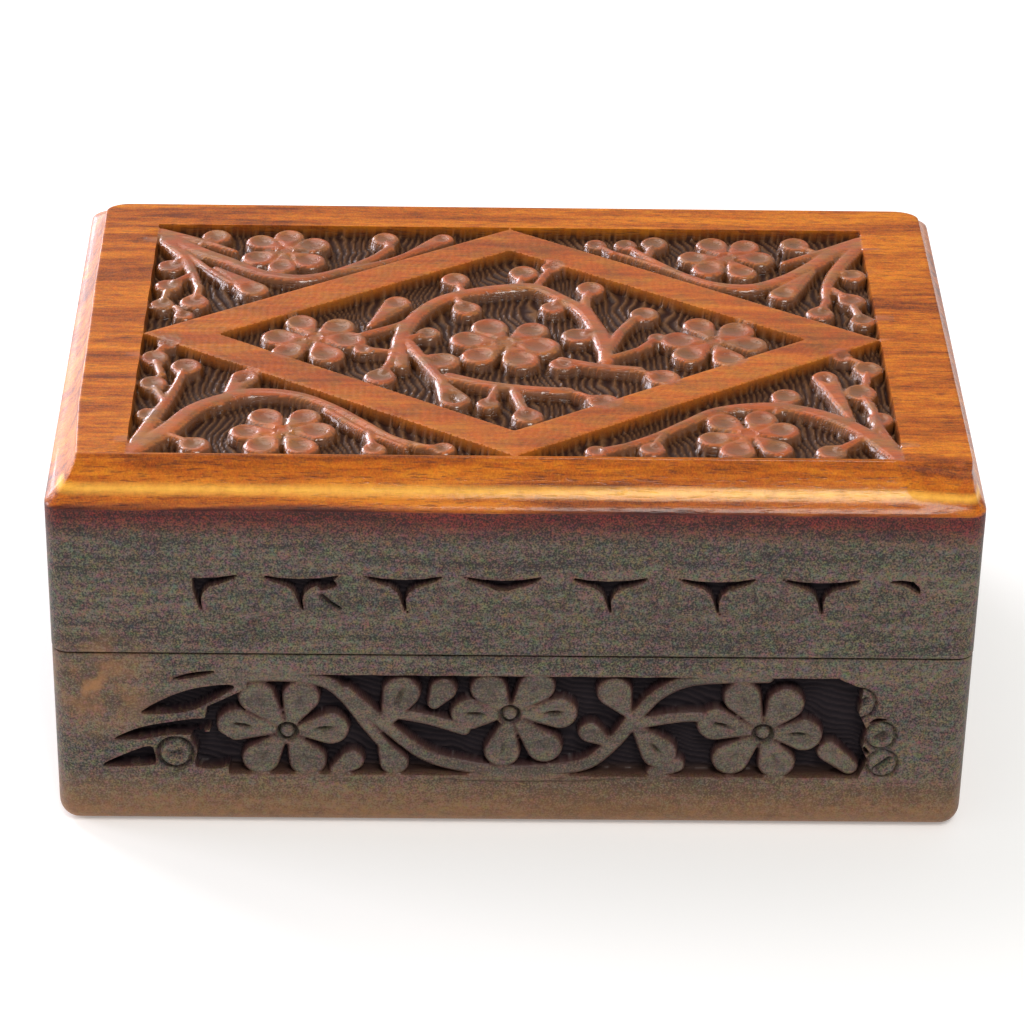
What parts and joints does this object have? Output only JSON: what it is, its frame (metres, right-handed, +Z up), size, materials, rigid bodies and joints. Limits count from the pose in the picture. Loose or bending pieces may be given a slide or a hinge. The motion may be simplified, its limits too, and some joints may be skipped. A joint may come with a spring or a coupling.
{
  "type": "jewelry box",
  "caption": "Rectangular carved hardwood jewelry box with a hinged lid, hollow-moulded lid edge, floral relief carving and velvet-lined compartments.",
  "frame": {"origin": "middle of the underside of the base board", "axes": "+Z up, X along the width, the carved front faces -Y, the hinges are at +Y"},
  "size_m": [0.152, 0.102, 0.069],
  "materials": {
    "carved_top": "glossy varnish over orange-brown hardwood",
    "body_wood": "satin varnish over dark brown hardwood",
    "hinge_brass": "rubbed brass",
    "pin_steel": "bright steel panel pins",
    "lining_velvet": "deep red velvet"
  },
  "bodies": {
    "base": {"base_back": "body_wood", "base_bottom": "body_wood", "base_floor_pad": "lining_velvet", "base_front": "body_wood", "base_left": "body_wood", "base_lining_back": "lining_velvet", "base_lining_front": "lining_velvet", "base_lining_left": "lining_velvet", "base_lining_right": "lining_velvet", "base_pin_back_left_high": "pin_steel", "base_pin_back_left_low": "pin_steel", "base_pin_back_right_high": "pin_steel", "base_pin_back_right_low": "pin_steel", "base_pin_front_left_high": "pin_steel", "base_pin_front_left_low": "pin_steel", "base_pin_front_right_high": "pin_steel", "base_pin_front_right_low": "pin_steel", "base_right": "body_wood", "bottom_pin_back_left": "pin_steel", "bottom_pin_back_right": "pin_steel", "bottom_pin_front_left": "pin_steel", "bottom_pin_front_right": "pin_steel", "hinge_left_base_leaf": "hinge_brass", "hinge_left_base_screw_a": "hinge_brass", "hinge_left_base_screw_b": "hinge_brass", "hinge_left_pin": "hinge_brass", "hinge_right_base_leaf": "hinge_brass", "hinge_right_base_screw_a": "hinge_brass", "hinge_right_base_screw_b": "hinge_brass", "hinge_right_pin": "hinge_brass"},
    "lid": {"hinge_left_lid_leaf": "hinge_brass", "hinge_left_lid_screw_a": "hinge_brass", "hinge_left_lid_screw_b": "hinge_brass", "hinge_right_lid_leaf": "hinge_brass", "hinge_right_lid_screw_a": "hinge_brass", "hinge_right_lid_screw_b": "hinge_brass", "lid_back": "body_wood", "lid_ceiling_pad": "lining_velvet", "lid_front": "body_wood", "lid_left": "body_wood", "lid_lining_back": "lining_velvet", "lid_lining_front": "lining_velvet", "lid_lining_left": "lining_velvet", "lid_lining_right": "lining_velvet", "lid_pin_back_left_high": "pin_steel", "lid_pin_back_left_low": "pin_steel", "lid_pin_back_right_high": "pin_steel", "lid_pin_back_right_low": "pin_steel", "lid_pin_front_left_high": "pin_steel", "lid_pin_front_left_low": "pin_steel", "lid_pin_front_right_high": "pin_steel", "lid_pin_front_right_low": "pin_steel", "lid_right": "body_wood", "lid_top": "carved_top"}
  },
  "joints": [
    {"name": "lid_hinge", "type": "hinge", "parent": "base", "child": "lid", "pos_m": [0, 0.0492, 0.03425], "axis": [-1, 0, 0], "range_deg": [0, 100]}
  ]
}
